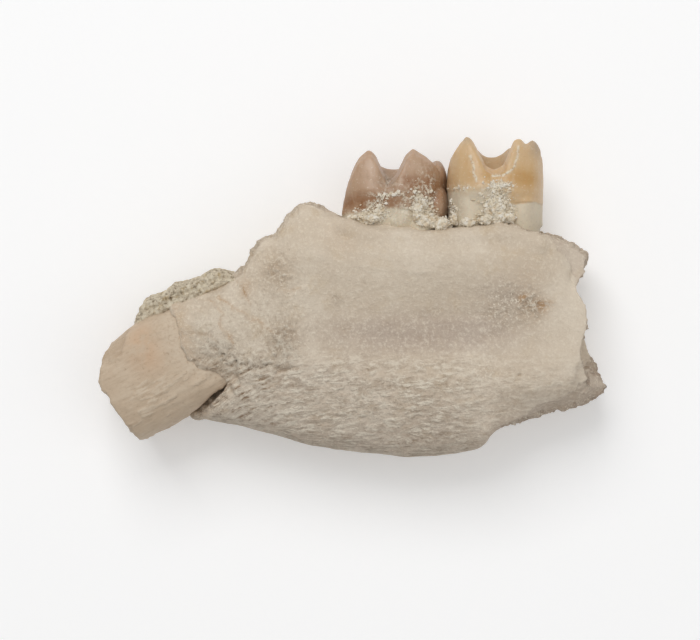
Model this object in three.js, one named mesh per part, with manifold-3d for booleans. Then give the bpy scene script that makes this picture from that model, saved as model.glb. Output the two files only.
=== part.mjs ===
// A fossil rodent's broken right lower jaw, life size, lying on its outer side with its tongue side up.
// The bone carries two cheek teeth and the stub of its incisor, and keeps some of the sediment it lay in.
// Millimetres, +Z up: +X runs from the incisor to the broken rear end, +Y towards the crowns of the teeth.
import * as THREE from "three";
import { mergeVertices } from "three/addons/utils/BufferGeometryUtils.js";
import Module from "manifold-3d";

const wasm = await Module();
wasm.setup();

// Driving dimensions
const GAP = 0.25; // clearance between two solids that touch
const MID_Z = 2.6; // height of the seam between the tongue side and the cheek side
const TONGUE_Z = 4.95; // height of the tongue side of the bone
const CHEEK_Z = 0.6; // height of the cheek side of the bone over the floor
const RING_SIDES = 48; // points round one section of the bone
const RINGS_PER_STATION = 4; // sections of the bone between two of its stations

// The upper and lower edge of the bone at matching stations, from its front break to its rear break
const STATIONS = [
  { top: [-8.4, -0.6], bottom: [-6.85, -5.25] },
  { top: [-6.6, 0.22], bottom: [-5.75, -5.42] },
  { top: [-4.9, 1.0], bottom: [-4.6, -5.65] },
  { top: [-4.35, 1.85], bottom: [-3.8, -5.88] },
  { top: [-3.8, 2.5], bottom: [-3.0, -6.1] },
  { top: [-3.3, 2.65], bottom: [-2.2, -6.33] },
  { top: [-2.8, 3.4], bottom: [-1.4, -6.48] },
  { top: [-2.0, 3.97], bottom: [-0.4, -6.66] },
  { top: [-0.7, 3.58], bottom: [0.8, -6.8] },
  { top: [0.9, 3.35], bottom: [2.2, -6.93] },
  { top: [2.9, 3.15], bottom: [3.6, -6.9] },
  { top: [4.9, 3.12], bottom: [4.7, -6.75] },
  { top: [6.6, 3.12], bottom: [5.55, -6.5] },
  { top: [7.7, 2.95], bottom: [6.1, -5.8] },
  { top: [8.3, 2.72], bottom: [7.3, -5.38] },
  { top: [8.9, 2.5], bottom: [8.6, -4.95] },
  { top: [9.5, 2.15], bottom: [10.0, -4.65] },
  { top: [10.08, 1.78], bottom: [10.95, -3.97] },
];

// Swellings and hollows of the two sides: centre, half widths and height, the height towards that side
const TONGUE_RELIEF = [
  { at: [3.6, 2.0], size: [6.5, 1.7], rise: 0.5 }, // band of bone along the roots of the cheek teeth
  { at: [4.2, -1.3], size: [5.2, 1.7], rise: -0.5 }, // long hollow under that band
  { at: [2.6, -4.4], size: [6.0, 1.7], rise: 0.25 }, // swelling along the lower edge
  { at: [-4.6, -1.6], size: [3.0, 2.2], rise: 0.2 }, // sheath over the root of the incisor
  { at: [-2.2, 2.4], size: [1.5, 1.5], rise: 0.2 }, // peak in front of the cheek teeth
  { at: [10.0, 1.9], size: [1.5, 1.6], rise: -0.8 }, // layer broken off the upper rear corner
  { at: [8.6, -5.0], size: [2.2, 0.8], rise: -0.9 }, // layer broken off the lower rear edge
];
const CHEEK_RELIEF = [
  { at: [-5.4, -2.6], size: [2.0, 1.7], rise: 1.0 }, // sheath over the root of the incisor
  { at: [-1.2, 2.3], size: [1.5, 1.1], rise: 1.0 }, // knob in front of the cheek teeth
  { at: [3.4, -5.0], size: [3.0, 1.0], rise: 1.0 }, // front end of the chewing muscle's crest
  { at: [8.0, 1.3], size: [1.7, 1.2], rise: 1.0 }, // root of the missing upright branch
  { at: [6.6, -2.2], size: [2.6, 2.0], rise: -0.6 }, // hollow for the chewing muscle
];

// Layers broken off the tongue side, on the left of each line's run: the line and the depth of its step
const BROKEN_LAYERS = [
  { edge: [[7.6, 3.6], [8.36, 2.43], [8.87, 1.67], [9.3, 1.0], [9.34, 0.6], [10.6, 0.2]], depth: 0.22 },
  { edge: [[10.8, -2.7], [9.37, -4.0], [8.5, -4.44], [7.3, -5.03], [5.8, -6.4]], depth: 0.35 },
  { edge: [[-5.4, 0.5], [-4.05, 1.85], [-3.2, 2.3], [-2.2, 3.9]], depth: 0.25 },
];
const STEP_WIDTH = 0.25;

// The opening in front, where the bone's sheath over the incisor broke away: its edge, then the bone's
// edge along the underside of the tooth. The sheath thins out until it is flush with the tooth.
const OPENING = {
  edge: [[-8.1, 0.7], [-7.6, -0.7], [-7.3, -1.9], [-6.9, -2.75], [-5.7, -3.4]],
  underside: [[-5.25, -3.83], [-6.26, -4.8], [-7.4, -5.7]],
  far: [-12, -8],
  thickness: 0.06,
  fade: 0.9,
  groove: 0.5,
  grooveWidth: 0.45,
  grooveFrom: -4.4,
  grooveTo: -6,
};

// Pits for vessels and nerves: centre, half widths, and the side of the bone that they open on
const PITS = [
  { at: [-2.45, 0.05], size: [0.34, 0.26, 0.5], z: TONGUE_Z },
  { at: [-3.1, -0.5], size: [0.55, 0.4, 0.6], z: CHEEK_Z },
];

// The section of the bone: its edges are round where whole and square where broken, and its sides bow
const SECTION = { round: 0.8, square: 0.3, toothEdge: 0.8, bow: 0.8, brokenFrom: 0.66, brokenTo: 0.74 };

// The rear break: how far it lies in front of the straight line between its corners.
// The inner plate of bone ends before the outer one, and a cavity opens between them.
const REAR_BREAK = {
  reach: 0.12,
  bow: 0.5,
  notch: 0.45,
  notchAt: 0.75,
  notchWidth: 0.09,
  plate: 0.75,
  plateFrom: 0.2,
  plateTo: 0.55,
  cavity: 0.9,
  cavityFrom: 0.55,
  cavityTo: 0.85,
};

// The incisor stub: a bent bar, broken across the front at a slant, with its upper corner broken round.
// The pulp cavity opens in the break.
const INCISOR = {
  rear: [-5.25, -1.5],
  front: [-10.39, -4.21],
  bend: [0.11, -0.22],
  depth: 4.75,
  thickness: 4.1,
  midZ: 2.7,
  blockiness: 0.75,
  slant: 0.35,
  corner: 2.6,
  cornerFrom: 0.1,
  cornerPower: 4,
  pulp: 0.7,
  pulpWidth: 0.5,
  sides: 32,
  rings: 18,
};

// The cheek teeth: neck and shoulder are heights of the crown, with its front and rear face at each.
// Cusps stand on its chewing surface, each at a place along and across the jaw.
const MOLARS = [
  {
    name: "molar_front",
    colour: 0xb0937a,
    midZ: 2.95,
    breadth: 3.75,
    neck: 3.9,
    neckSpan: [-0.42, 3.76],
    shoulder: 5.1,
    shoulderSpan: [-0.14, 3.87],
    basin: 5.1,
    cusps: [
      { at: [0.58, 3.9], top: 6.55, width: 0.85 },
      { at: [2.64, 3.9], top: 6.55, width: 0.85 },
      { at: [0.85, 2.0], top: 5.95, width: 0.85 },
      { at: [3.2, 2.1], top: 6.05, width: 0.8 },
    ],
  },
  {
    name: "molar_rear",
    colour: 0xc3a47c,
    midZ: 2.95,
    breadth: 3.85,
    neck: 4.4,
    neckSpan: [4.22, 8.04],
    shoulder: 5.5,
    shoulderSpan: [4.12, 8.24],
    basin: 5.6,
    cusps: [
      { at: [4.88, 3.9], top: 7.3, width: 0.82 },
      { at: [7.06, 3.9], top: 6.97, width: 0.75 },
      { at: [7.8, 3.2], top: 7.45, width: 0.5 },
      { at: [4.85, 2.05], top: 6.45, width: 0.8 },
      { at: [7.3, 2.0], top: 6.4, width: 0.8 },
    ],
  },
];
const CROWN = {
  sides: 36,
  blockiness: 0.78,
  pinch: 0.16,
  pinchWidth: 0.3,
  round: 4,
  underside: [0, 0.5],
  wall: [0, 0.2, 0.4, 0.6, 0.8, 1],
  top: [0.94, 0.86, 0.77, 0.68, 0.58, 0.48, 0.36, 0.22, 0],
};
const ROOT = {
  width: 1.3,
  breadth: 3.1,
  depth: 1.0,
  sink: 0.3,
  splay: 0.12,
  flare: 0.5,
  flareHeight: 0.8,
  sides: 24,
  rings: 8,
};
const ALVEOLUS_Y = 3.2; // level of the bone's edge at the cheek teeth

// The sediment: a crust over the front of the jaw, and a plug between the two roots of each cheek tooth
const CRUST = {
  from: [-9.3, -1.05],
  to: [-4.9, 1.0],
  height: 0.97,
  thickness: 3.4,
  midZ: 2.5,
  taper: 0.05,
  sides: 24,
  rings: 18,
};
const PLUG = { width: 2.3, breadth: 4.2, taper: 0.12, sides: 20, rings: 8 };
const SEDIMENT = { colour: 0xbaac97, roughness: 0.95, grain: 0.16, blockiness: 0.75, swell: 0.6 };

// Rings of points on the flat ends of the bars that the pieces are shaped from, as shares of their radius
const END_RINGS = { bone: [0, 0.35, 0.6, 0.85], incisor: [0, 0.3, 0.6, 0.85], lump: [0, 0.6] };

// Shaping helpers
const { lerp, smoothstep } = THREE.MathUtils;
const hump = (distance) => Math.exp(-distance * distance);
const signedPower = (value, power) => Math.sign(value) * Math.abs(value) ** power;

function relief(swellings, x, y) {
  return swellings.reduce((sum, { at, size, rise }) => {
    return sum + rise * hump(Math.hypot((x - at[0]) / size[0], (y - at[1]) / size[1]));
  }, 0);
}

// Uneven grain of broken stone and bone, from waves that don't repeat within the jaw
function grain(x, y, z) {
  const coarse = Math.sin(2.3 * x + 1.7 * y + 0.4) * Math.sin(2.9 * y - 1.3 * z + 1.1);
  const fine = Math.sin(5.1 * x - 3.7 * z + 2.0) * Math.sin(4.7 * y + 4.3 * z + 0.7);
  return 0.6 * coarse + 0.4 * fine;
}

// A closed blank turned from a profile of [radius, height] pairs that starts and ends on its axis.
// place(radius, angle, height) says where each of its points goes.
function shapedBlank(profile, sides, place) {
  const points = profile.map(([radius, height]) => new THREE.Vector2(radius, height));
  const geometry = new THREE.LatheGeometry(points, sides);
  const position = geometry.attributes.position;
  const step = (2 * Math.PI) / sides;
  for (let i = 0; i < position.count; i += 1) {
    const radius = Math.hypot(position.getX(i), position.getZ(i));
    const angle = Math.round(Math.atan2(position.getZ(i), position.getX(i)) / step) * step;
    position.setXYZ(i, ...place(radius, angle, position.getY(i)));
  }
  return solidOf(geometry);
}

// A turned profile with a straight side, closed by rings on its two ends
function barProfile(sideRings, endRings) {
  const side = Array.from({ length: sideRings + 1 }, (_, i) => [1, i / sideRings]);
  const front = endRings.map((radius) => [radius, 0]);
  const rear = endRings.toReversed().map((radius) => [radius, 1]);
  return [...front, ...side, ...rear];
}

function solidOf(geometry) {
  const bare = geometry.clone();
  bare.deleteAttribute("normal");
  bare.deleteAttribute("uv");
  const merged = mergeVertices(bare, 1e-4);
  const corners = merged.index.array;
  const triangles = [];
  for (let i = 0; i < corners.length; i += 3) {
    const [a, b, c] = corners.slice(i, i + 3);
    if (a !== b && b !== c && c !== a) triangles.push(a, b, c);
  }
  const build = (triVerts) => {
    const vertProperties = new Float32Array(merged.attributes.position.array);
    return new wasm.Manifold(new wasm.Mesh({ numProp: 3, vertProperties, triVerts }));
  };
  const made = build(new Uint32Array(triangles));
  return made.volume() > 0 ? made : build(new Uint32Array(triangles.toReversed()));
}

// A node keeps the largest of the bodies that its cuts leave
function meshOf(name, solid, colour, roughness) {
  const body = solid.decompose().reduce((best, next) => (next.volume() > best.volume() ? next : best));
  const { vertProperties, triVerts } = body.getMesh();
  const geometry = new THREE.BufferGeometry();
  geometry.setAttribute("position", new THREE.BufferAttribute(vertProperties, 3));
  geometry.setIndex(new THREE.BufferAttribute(triVerts, 1));
  geometry.computeVertexNormals();
  const material = new THREE.MeshStandardMaterial({ color: colour, roughness, metalness: 0 });
  const mesh = new THREE.Mesh(geometry, material);
  mesh.name = name;
  return mesh;
}

// Distance of a place from a line through a few points, positive on the left of the line's run
function beside(line, x, y) {
  let nearest = Infinity;
  for (let i = 1; i < line.length; i += 1) {
    const [run, rise] = [line[i][0] - line[i - 1][0], line[i][1] - line[i - 1][1]];
    const [right, up] = [x - line[i - 1][0], y - line[i - 1][1]];
    const along = THREE.MathUtils.clamp((right * run + up * rise) / (run * run + rise * rise), 0, 1);
    const away = Math.hypot(right - along * run, up - along * rise);
    if (away < Math.abs(nearest)) nearest = run * up > rise * right ? away : -away;
  }
  return nearest;
}

// The same line, moved aside to the left of its run
function movedAside(line, distance) {
  return line.map(([x, y], i) => {
    const [fromX, fromY] = line[Math.max(i - 1, 0)];
    const [toX, toY] = line[Math.min(i + 1, line.length - 1)];
    const scale = distance / Math.hypot(toX - fromX, toY - fromY);
    return [x - scale * (toY - fromY), y + scale * (toX - fromX)];
  });
}

// The bone of the jaw
const edgeCurve = (edge) => {
  const points = STATIONS.map((station) => new THREE.Vector3(...station[edge], 0));
  return new THREE.CatmullRomCurve3(points, false, "centripetal");
};
const topEdge = edgeCurve("top");
const bottomEdge = edgeCurve("bottom");

// How square the bone's section is at its upper and lower edge
function squareness(along, upper) {
  const broken = smoothstep(along, SECTION.brokenFrom, SECTION.brokenTo);
  return lerp(SECTION.round, SECTION.square, upper ? Math.max(broken, SECTION.toothEdge) : broken);
}

function rearBreak(share, side) {
  const { bow, notch, notchAt, notchWidth, plate, plateFrom, plateTo } = REAR_BREAK;
  const step = smoothstep(side, 0, 0.5) * (1 - smoothstep(share, plateFrom, plateTo));
  return bow * Math.sin(Math.PI * share) + notch * hump((share - notchAt) / notchWidth) + plate * step;
}

// Height of the incisor's upper face over a place
function incisorTop(x, y) {
  const { rear, front, depth, thickness, midZ, blockiness } = INCISOR;
  const run = new THREE.Vector2(...rear).sub(new THREE.Vector2(...front)).normalize();
  const across = ((y - front[1]) * run.x - (x - front[0]) * run.y) / (depth / 2);
  const fall = Math.max(0, 1 - Math.abs(across) ** (2 / blockiness));
  return midZ + (thickness / 2) * fall ** (blockiness / 2);
}

function tongueHeight(x, y) {
  const { underside, groove, grooveWidth, grooveFrom, grooveTo } = OPENING;
  const layers = BROKEN_LAYERS.reduce((sum, { edge, depth }) => {
    return sum + depth * smoothstep(beside(edge, x, y), 0, STEP_WIDTH);
  }, 0);
  const front = 1 - smoothstep(x, grooveTo, grooveFrom);
  const channel = groove * front * hump(beside(underside, x, y) / grooveWidth);
  return TONGUE_Z + relief(TONGUE_RELIEF, x, y) - layers - channel;
}

// How far the sheath has thinned out towards the opening in front
function thinning(x, y) {
  const { edge, underside, fade } = OPENING;
  const overTooth = smoothstep(-beside(underside, x, y), -STEP_WIDTH, STEP_WIDTH);
  return overTooth * hump(Math.max(0, beside(edge, x, y)) / fade);
}

// Everything in front of the opening's edge, and some way clear of it
function openingSolid(clearance) {
  const { edge, underside, far } = OPENING;
  const line = movedAside([...edge, ...underside], -clearance);
  const outline = [...line, [line.at(-1)[0], far[1]], far, [far[0], line[0][1]]];
  const shape = new THREE.Shape(outline.map((point) => new THREE.Vector2(...point)));
  const block = new THREE.ExtrudeGeometry(shape, { depth: 2 * TONGUE_Z, bevelEnabled: false });
  return solidOf(block.translate(0, 0, -TONGUE_Z / 2));
}

function boneSolid(grow) {
  const place = (radius, angle, along) => {
    const upper = Math.cos(angle) > 0;
    const share = 0.5 + 0.5 * signedPower(Math.cos(angle), SECTION.bow);
    const side = signedPower(Math.sin(angle), squareness(along, upper));
    const high = topEdge.getPoint(along);
    const low = bottomEdge.getPoint(along);
    const up = high.clone().sub(low).normalize();
    const onEdge = low.clone().lerp(high, share).addScaledVector(up, grow * (2 * share - 1));
    const tongue = tongueHeight(onEdge.x, onEdge.y);
    const cheek = CHEEK_Z - relief(CHEEK_RELIEF, onEdge.x, onEdge.y);
    const depth = side > 0 ? tongue + grow - MID_Z : MID_Z - Math.max(cheek, 0) + grow;
    const flush = incisorTop(onEdge.x, onEdge.y) + OPENING.thickness + grow;
    const thinned = side > 0 ? thinning(onEdge.x, onEdge.y) : 0;
    const rim = new THREE.Vector3(onEdge.x, onEdge.y, lerp(MID_Z + side * depth, flush, thinned));
    const heart = new THREE.Vector3((low.x + high.x) / 2, (low.y + high.y) / 2, MID_Z);
    const point = heart.lerp(rim, radius);
    if (along === 0) point.x -= grow;
    const { reach, cavity, cavityFrom, cavityTo } = REAR_BREAK;
    const rear = smoothstep(along, 1 - reach, 1);
    point.x -= rear * rearBreak(0.5 + (share - 0.5) * radius, side * radius);
    if (along === 1) point.x -= cavity * (1 - smoothstep(radius, cavityFrom, cavityTo));
    return point.toArray();
  };
  const rings = RINGS_PER_STATION * (STATIONS.length - 1);
  return shapedBlank(barProfile(rings, END_RINGS.bone), RING_SIDES, place);
}

function pitSolid({ at, size, z }) {
  const pit = new THREE.SphereGeometry(1, 14, 8).scale(...size);
  return solidOf(pit.translate(...at, z));
}

// The incisor
function incisorSolid(grow) {
  const { rear, front, bend, depth, thickness, midZ, blockiness, pulp, pulpWidth } = INCISOR;
  const { slant, corner, cornerFrom, cornerPower } = INCISOR;
  const axis = new THREE.QuadraticBezierCurve(
    new THREE.Vector2(...rear),
    new THREE.Vector2((rear[0] + front[0]) / 2 + bend[0], (rear[1] + front[1]) / 2 + bend[1]),
    new THREE.Vector2(...front),
  );
  const place = (radius, angle, along) => {
    const middle = axis.getPoint(along);
    const ahead = axis.getTangent(along);
    const share = radius * signedPower(Math.cos(angle), blockiness);
    const side = radius * signedPower(Math.sin(angle), blockiness);
    const across = share * (depth / 2 + grow);
    const rounded = corner * (Math.max(0, share - cornerFrom) / (1 - cornerFrom)) ** cornerPower;
    const hollow = along === 1 ? pulp * (1 - smoothstep(radius, 0, pulpWidth)) - grow : 0;
    const back = (rounded - slant * share) * along ** 2 + hollow;
    const x = middle.x + ahead.y * across - ahead.x * back;
    const y = middle.y - ahead.x * across - ahead.y * back;
    return [x, y, midZ + side * (thickness / 2 + grow)];
  };
  return shapedBlank(barProfile(INCISOR.rings, END_RINGS.incisor), INCISOR.sides, place);
}

// A cheek tooth: its crown, and two roots that stand in sockets of the bone
function crownSolid({ midZ, breadth, neck, neckSpan, shoulder, shoulderSpan, basin, cusps }, grow) {
  const chewing = (x, z) => {
    return cusps.reduce((height, { at, top, width }) => {
      return Math.max(height, lerp(basin, top, hump(Math.hypot(x - at[0], z - at[1]) / width)));
    }, basin);
  };
  const place = (radius, angle, height) => {
    const across = signedPower(Math.cos(angle), CROWN.blockiness);
    const side = signedPower(Math.sin(angle), CROWN.blockiness);
    const wall = Math.min(height, 1);
    const bulge = Math.sin((wall * Math.PI) / 2);
    const front = lerp(neckSpan[0], shoulderSpan[0], bulge) - grow;
    const rear = lerp(neckSpan[1], shoulderSpan[1], bulge) + grow;
    const scale = radius * (1 - CROWN.pinch * hump(across / CROWN.pinchWidth));
    const x = (front + rear) / 2 + (across * scale * (rear - front)) / 2;
    const z = midZ + side * scale * (breadth / 2 + grow);
    const cusp = lerp(shoulder, chewing(x, z) + grow, 1 - radius ** CROWN.round);
    const y = height > 1 ? cusp : lerp(neck - grow, shoulder, wall);
    return [x, y, z];
  };
  const underside = CROWN.underside.map((radius) => [radius, 0]);
  const wall = CROWN.wall.map((height) => [1, height]);
  const top = CROWN.top.map((radius) => [radius, 2]);
  return shapedBlank([...underside, ...wall, ...top], CROWN.sides, place);
}

// One of the two roots, in front (0) or behind (1), flush with that end of the crown at the neck.
// The two splay into the bone, and flare towards each other under the crown, where they meet in an arch.
function rootSolid({ midZ, neck, neckSpan }, end, grow) {
  const top = neck + ROOT.sink;
  const bottom = ALVEOLUS_Y - ROOT.depth - grow;
  const outwards = 2 * end - 1;
  const heart = neckSpan[end] - (outwards * ROOT.width) / 2;
  const column = new THREE.CylinderGeometry(0.5, 0.5, 1, ROOT.sides, ROOT.rings);
  column.scale(ROOT.width + 2 * grow, top - bottom, ROOT.breadth + 2 * grow);
  column.translate(0, (top + bottom) / 2, midZ);
  const position = column.attributes.position;
  for (let i = 0; i < position.count; i += 1) {
    const x = position.getX(i);
    const depth = neck - position.getY(i);
    const splay = ROOT.splay * smoothstep(depth, 0, neck - bottom);
    const inwards = Math.max(0, -outwards * x) / (ROOT.width / 2 + grow);
    const flare = ROOT.flare * inwards * (1 - smoothstep(depth, -ROOT.sink, ROOT.flareHeight));
    position.setX(i, heart + x + outwards * (splay - flare));
  }
  return solidOf(column);
}

function molarSolid(molar, grow) {
  return crownSolid(molar, grow).add(rootSolid(molar, 0, grow)).add(rootSolid(molar, 1, grow));
}

// A lump of sediment round a straight line, with half sizes up and across that taper towards its ends
function lumpSolid(from, to, half, { taper, sides, rings }) {
  const { grain: unevenness, blockiness, swell } = SEDIMENT;
  const place = (radius, angle, along) => {
    const size = Math.sin(Math.PI * lerp(taper, 1 - taper, along)) ** swell;
    const heart = new THREE.Vector3(...from).lerp(new THREE.Vector3(...to), along);
    const up = signedPower(Math.cos(angle), blockiness) * half[0] * size;
    const across = signedPower(Math.sin(angle), blockiness) * half[1] * size;
    const rough = radius * (1 + unevenness * grain(heart.x + up, heart.y + 2 * up, heart.z + across));
    return [heart.x, heart.y + up * rough, heart.z + across * rough];
  };
  return shapedBlank(barProfile(rings, END_RINGS.lump), sides, place);
}

function crustSolid() {
  const { from, to, height, thickness, midZ } = CRUST;
  return lumpSolid([...from, midZ], [...to, midZ], [height, thickness / 2], CRUST);
}

function plugSolid({ midZ, neck, neckSpan }) {
  const half = [neck - ALVEOLUS_Y, PLUG.breadth / 2];
  const level = (neck + ALVEOLUS_Y) / 2;
  const middle = (neckSpan[0] + neckSpan[1]) / 2;
  const from = [middle - PLUG.width / 2, level, midZ];
  const to = [middle + PLUG.width / 2, level, midZ];
  return lumpSolid(from, to, half, PLUG);
}

// The jaw put together
const wideMolars = MOLARS.map((molar) => molarSolid(molar, GAP));
const wideBone = boneSolid(GAP);
const hollows = [...wideMolars, ...PITS.map(pitSolid)];
const cutBone = boneSolid(0).subtract(openingSolid(0));
const bone = hollows.reduce((solid, hollow) => solid.subtract(hollow), cutBone);
const incisor = incisorSolid(0).intersect(openingSolid(GAP));
const wideIncisor = incisorSolid(GAP).intersect(openingSolid(0));
const crust = crustSolid().subtract(wideBone).subtract(wideIncisor);
const group = new THREE.Group();
group.name = "fossil_rodent_jaw";
group.add(meshOf("jaw_bone", bone, 0xcfc3b0, 0.85));
group.add(meshOf("incisor", incisor, 0xb8a187, 0.5));
group.add(meshOf("matrix_crust", crust, SEDIMENT.colour, SEDIMENT.roughness));
MOLARS.forEach((molar, i) => {
  const plug = plugSolid(molar).subtract(wideBone).subtract(wideMolars[i]);
  const plugName = molar.name.replace("molar", "matrix_plug");
  group.add(meshOf(molar.name, molarSolid(molar, 0), molar.colour, 0.35));
  group.add(meshOf(plugName, plug, SEDIMENT.colour, SEDIMENT.roughness));
});

// The origin is under the middle of the jaw, on the floor
const box = new THREE.Box3().setFromObject(group);
const middle = box.getCenter(new THREE.Vector3());
group.children.forEach((mesh) => mesh.position.set(-middle.x, -middle.y, -box.min.z));

export default group;
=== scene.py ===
import bpy
import numpy as np
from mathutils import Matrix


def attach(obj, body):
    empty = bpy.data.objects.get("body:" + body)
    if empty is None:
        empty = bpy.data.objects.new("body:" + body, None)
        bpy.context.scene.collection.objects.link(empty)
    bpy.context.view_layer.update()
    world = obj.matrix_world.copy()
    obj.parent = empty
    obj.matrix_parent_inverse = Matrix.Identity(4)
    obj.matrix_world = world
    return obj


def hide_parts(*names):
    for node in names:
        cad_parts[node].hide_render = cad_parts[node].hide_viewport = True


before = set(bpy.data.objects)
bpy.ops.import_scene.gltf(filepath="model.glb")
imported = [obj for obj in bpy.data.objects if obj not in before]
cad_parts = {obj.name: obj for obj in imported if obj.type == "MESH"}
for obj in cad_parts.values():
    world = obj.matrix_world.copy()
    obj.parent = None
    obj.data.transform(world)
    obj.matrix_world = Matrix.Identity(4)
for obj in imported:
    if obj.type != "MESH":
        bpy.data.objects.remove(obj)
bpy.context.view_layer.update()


# The jaw bone
# One broken piece of mineralised bone, cream and matt, fibrous below and rough where its skin is gone.
# A copy of its solid gets a rim of bone round the teeth, is meshed evenly and then carved.
MM = 0.001
BONE_VOXEL = 0.066
BONE_SMOOTHING = 5
BONE_BUMP = 0.08
MID_HEIGHT = 2.6  # height of the seam between the tongue side and the cheek side


def choose(piece):
    """Makes a piece the only selected one and the active one."""
    bpy.ops.object.select_all(action="DESELECT")
    piece.select_set(True)
    bpy.context.view_layer.objects.active = piece


def new_piece(name, mesh=None):
    """A piece with a mesh, or with an empty one to be filled."""
    piece = bpy.data.objects.new(name, mesh or bpy.data.meshes.new(name))
    bpy.context.scene.collection.objects.link(piece)
    choose(piece)
    return piece


def copy_of(node, name):
    """A piece with a copy of a solid's mesh, its loose triangles merged."""
    piece = new_piece(name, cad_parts[node].data.copy())
    bpy.ops.object.mode_set(mode="EDIT")
    bpy.ops.mesh.select_all(action="SELECT")
    bpy.ops.mesh.remove_doubles(threshold=0.002 * MM)
    bpy.ops.object.mode_set(mode="OBJECT")
    return piece


def work(piece, kind, **settings):
    """Adds a modifier to a piece and applies it."""
    choose(piece)
    modifier = piece.modifiers.new(kind, kind)
    for name, value in settings.items():
        setattr(modifier, name, value)
    bpy.ops.object.modifier_apply(modifier=modifier.name)


def mesh_evenly(piece, voxel, smoothing):
    """Gives a piece one closed skin of small even faces, and rounds it."""
    work(piece, "REMESH", mode="VOXEL", voxel_size=voxel * MM)
    work(piece, "SMOOTH", factor=0.5, iterations=smoothing)


def points_of(piece):
    """The places of a piece's points in millimetres, and their normals."""
    count = 3 * len(piece.data.vertices)
    places = np.empty(count)
    normals = np.empty(count)
    piece.data.vertices.foreach_get("co", places)
    piece.data.vertices.foreach_get("normal", normals)
    return places.reshape(-1, 3) / MM, normals.reshape(-1, 3)


def put_points(piece, places):
    """Moves a piece's points, and smooths the shading between its faces."""
    piece.data.vertices.foreach_set("co", (places * MM).ravel())
    piece.data.update()
    choose(piece)
    bpy.ops.object.shade_smooth()


def add_lumps(piece, lumps, sides):
    """Joins egg-shaped lumps to a piece, each with its middle and its half sizes."""
    eggs = []
    for middle, half in lumps:
        bpy.ops.object.select_all(action="DESELECT")
        bpy.ops.mesh.primitive_uv_sphere_add(segments=sides, ring_count=sides // 2, radius=MM)
        egg = bpy.context.active_object
        places, _ = points_of(egg)
        put_points(egg, places * half + middle)
        eggs.append(egg)
    choose(piece)
    for egg in eggs:
        egg.select_set(True)
    bpy.ops.object.join()


def paint(piece, **masks):
    """Keeps a number from 0 to 1 at each point of a piece, for its material to read."""
    for name, mask in masks.items():
        layer = piece.data.attributes.new(name, "FLOAT", "POINT")
        layer.data.foreach_set("value", np.clip(mask, 0, 1).astype(np.float32))


def scatter(corner, seed):
    """An even random number from 0 to 1 for each corner of a lattice."""
    x, y, z = corner.astype(np.int64).T
    mixed = (x * 73856093 ^ y * 19349663 ^ z * 83492791 ^ (seed + 1) * 40503) & 0xFFFFFFFF
    mixed = ((mixed ^ (mixed >> 15)) * 739982445) & 0xFFFFFFFF
    mixed = ((mixed ^ (mixed >> 12)) * 695872825) & 0xFFFFFFFF
    return (mixed ^ (mixed >> 15)) / 0xFFFFFFFF


TILT = np.array([(2, 3, 6), (3, -6, 2), (6, 2, -3)]) / 7  # turns the lattice of the noise off the axes


def noise(places, seed):
    """Smooth random waves from -1 to 1, about one to each unit."""
    places = places @ TILT
    corner = np.floor(places)
    share = places - corner
    share = share**3 * (share * (6 * share - 15) + 10)
    total = np.zeros(len(places))
    for step in np.ndindex(2, 2, 2):
        weight = np.prod(np.where(step, share, 1 - share), axis=1)
        total += weight * scatter(corner + step, seed)
    return 2 * total - 1


def fractal(places, seed, octaves=4):
    """Waves of halving size and height."""
    return sum(noise(places * 2**i + 7.3 * i, seed + i) / 2**i for i in range(octaves)) / 1.5


def web(places, seed):
    """A net of sharp ridges with hollows between them, from -1 to 1."""
    coarse = 1 - 3 * np.abs(noise(places, seed))
    fine = 1 - 3 * np.abs(noise(places * 2.1 + 4.7, seed + 1))
    return np.clip(0.65 * coarse + 0.35 * fine, -1, 1)


def cells(places, seed):
    """The distance from each place to the nearest of points strewn one to a unit cube."""
    corner = np.floor(places)
    nearest = np.full(len(places), 2.0)
    for step in np.ndindex(3, 3, 3):
        cell = corner + step - 1
        point = cell + np.stack([scatter(cell, seed + axis) for axis in range(3)], axis=1)
        nearest = np.minimum(nearest, np.linalg.norm(places - point, axis=1))
    return nearest


def ramp(low, high, value):
    """0 below low, 1 above high, and a smooth rise between them."""
    share = np.clip((value - low) / (high - low), 0, 1)
    return share * share * (3 - 2 * share)


def spots_at(x, y, spots):
    """Soft round masks, each with its middle, its half widths and its strength, added up."""
    return sum(
        strength * np.exp(-(((x - middle[0]) / size[0]) ** 2) - ((y - middle[1]) / size[1]) ** 2)
        for middle, size, strength in spots
    )


def beside(x, y, line):
    """The distance from a line through a few points, positive on the left of its run."""
    nearest = np.full(len(x), np.inf)
    signed = np.zeros(len(x))
    for (ax, ay), (bx, by) in zip(line, line[1:]):
        across, up = bx - ax, by - ay
        along = np.clip(((x - ax) * across + (y - ay) * up) / (across**2 + up**2), 0, 1)
        away = np.hypot(x - ax - along * across, y - ay - along * up)
        left = np.sign(across * (y - ay) - up * (x - ax))
        signed = np.where(away < nearest, away * left, signed)
        nearest = np.minimum(nearest, away)
    return signed


def height_on(line, x):
    """The height of a line through a few points, at places along it."""
    return np.interp(x, *zip(*line))


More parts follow.
